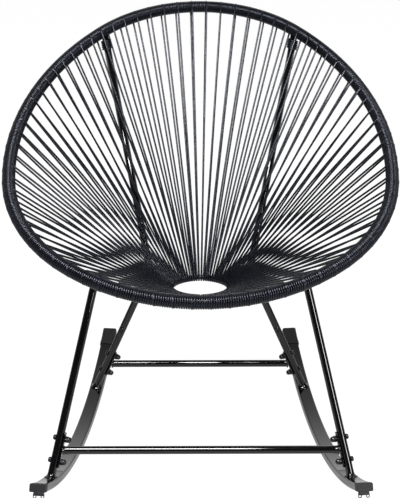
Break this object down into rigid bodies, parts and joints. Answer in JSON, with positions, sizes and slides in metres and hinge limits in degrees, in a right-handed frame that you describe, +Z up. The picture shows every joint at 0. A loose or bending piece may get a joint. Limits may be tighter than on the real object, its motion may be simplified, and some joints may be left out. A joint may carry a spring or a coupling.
{
  "type": "outdoor rocking chair",
  "caption": "Rocking chair with a cord-strung bucket seat in an oval steel hoop, held by a bolted tube frame on two curved runners.",
  "frame": {"origin": "On the floor in the chair's middle plane, midway between the hoop's front and back, under the lowest point of the runners.", "axes": "+Z up; the sitter faces -Y; +X is the right-hand side seen from the front."},
  "size_m": [0.7682, 0.7684, 0.8989],
  "materials": {
    "frame_paint": "gloss black powder coat",
    "cord": "black extruded cord, satin",
    "cap_plastic": "matt dark plastic",
    "bolt_steel": "black coated steel",
    "nut_cap": "gloss black"
  },
  "bodies": {
    "root": {"hoop_tube": "frame_paint", "hoop_wrap_front": "cord", "hoop_wrap_left": "cord", "hoop_wrap_right": "cord", "hoop_wrap_top": "cord", "hoop_winding": "cord", "ring_rod": "frame_paint", "ring_wrap": "cord", "upper_cords_back_left": "cord", "upper_cords_rearside_left": "cord", "upper_cords_foreside_left": "cord", "upper_cords_front_left": "cord", "upper_cords_back_right": "cord", "upper_cords_rearside_right": "cord", "upper_cords_foreside_right": "cord", "upper_cords_front_right": "cord", "lower_cords_back_left": "cord", "lower_cords_rearside_left": "cord", "lower_cords_foreside_left": "cord", "lower_cords_front_left": "cord", "lower_cords_back_right": "cord", "lower_cords_rearside_right": "cord", "lower_cords_foreside_right": "cord", "lower_cords_front_right": "cord", "back_bar_left": "frame_paint", "back_bar_right": "frame_paint", "rear_leg_left": "frame_paint", "rear_leg_right": "frame_paint", "front_leg_left": "frame_paint", "front_leg_right": "frame_paint", "front_arm_left": "frame_paint", "front_arm_right": "frame_paint", "back_joint_wrap_left": "cord", "back_joint_wrap_right": "cord", "front_joint_wrap_left": "cord", "front_joint_wrap_right": "cord", "runner_left": "frame_paint", "runner_right": "frame_paint", "front_crossbar": "frame_paint", "rear_crossbar": "frame_paint", "front_plate_left": "frame_paint", "front_plate_right": "frame_paint", "rear_plate_left": "frame_paint", "rear_plate_right": "frame_paint", "crossbar_bolts": "bolt_steel", "crossbar_nuts": "nut_cap", "leg_screws": "bolt_steel", "front_cap_left": "cap_plastic", "front_cap_right": "cap_plastic", "rear_cap_left": "cap_plastic", "rear_cap_right": "cap_plastic"}
  },
  "joints": []
}
